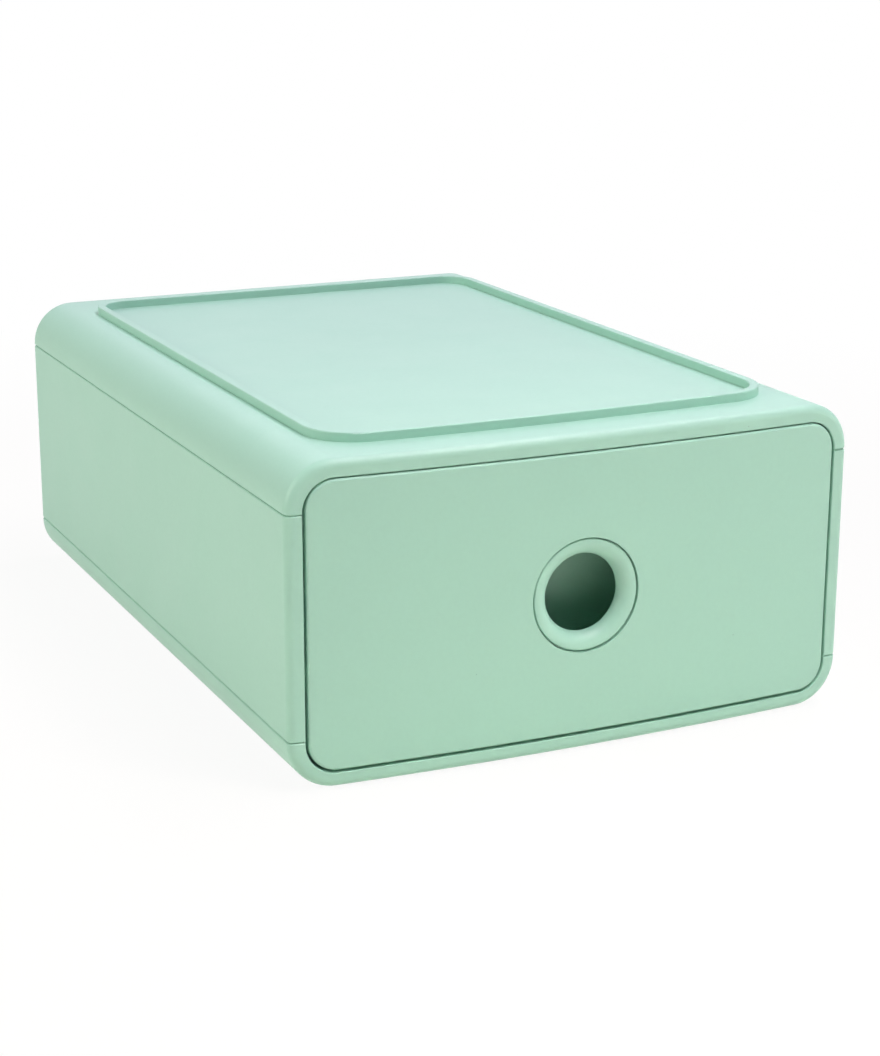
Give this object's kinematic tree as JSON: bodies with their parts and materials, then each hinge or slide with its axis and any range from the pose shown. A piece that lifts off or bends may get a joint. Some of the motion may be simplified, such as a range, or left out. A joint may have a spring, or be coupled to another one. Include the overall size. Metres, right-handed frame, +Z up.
{
  "type": "desktop drawer unit",
  "caption": "Stackable moulded plastic desktop drawer unit: a rounded case with a raised rim on its deck and a sliding drawer with a bowed front and a flared, cupped finger hole.",
  "frame": {"origin": "on the ground under the middle of the case's bounding box", "axes": "+X to the right of someone facing the drawer, +Y from the front to the back, +Z up"},
  "size_m": [0.26, 0.37, 0.1411],
  "materials": {
    "mint_plastic": "satin moulded, pale mint green",
    "runner_plastic": "smooth off-white slide plastic",
    "zinc_steel": "zinc plated",
    "grey_rubber": "matt soft rubber"
  },
  "bodies": {
    "case": {"top_cover": "mint_plastic", "base_tray": "mint_plastic", "left_side_panel": "mint_plastic", "right_side_panel": "mint_plastic", "back_panel": "mint_plastic", "left_runner": "runner_plastic", "right_runner": "runner_plastic", "left_runner_stop": "runner_plastic", "right_runner_stop": "runner_plastic", "runner_screws": "zinc_steel", "upper_case_screws": "zinc_steel", "lower_case_screws": "zinc_steel", "back_panel_screws": "zinc_steel", "front_left_foot": "grey_rubber", "front_right_foot": "grey_rubber", "back_left_foot": "grey_rubber", "back_right_foot": "grey_rubber", "left_bumper": "grey_rubber", "right_bumper": "grey_rubber"},
    "drawer": {"drawer_tray": "mint_plastic", "drawer_front": "mint_plastic", "pull_ring": "mint_plastic", "finger_cup": "mint_plastic", "drawer_front_screws": "zinc_steel"}
  },
  "joints": [
    {"name": "drawer_slide", "type": "slide", "parent": "case", "child": "drawer", "axis": [0, -1, 0], "range_m": [0, 0.255]}
  ]
}
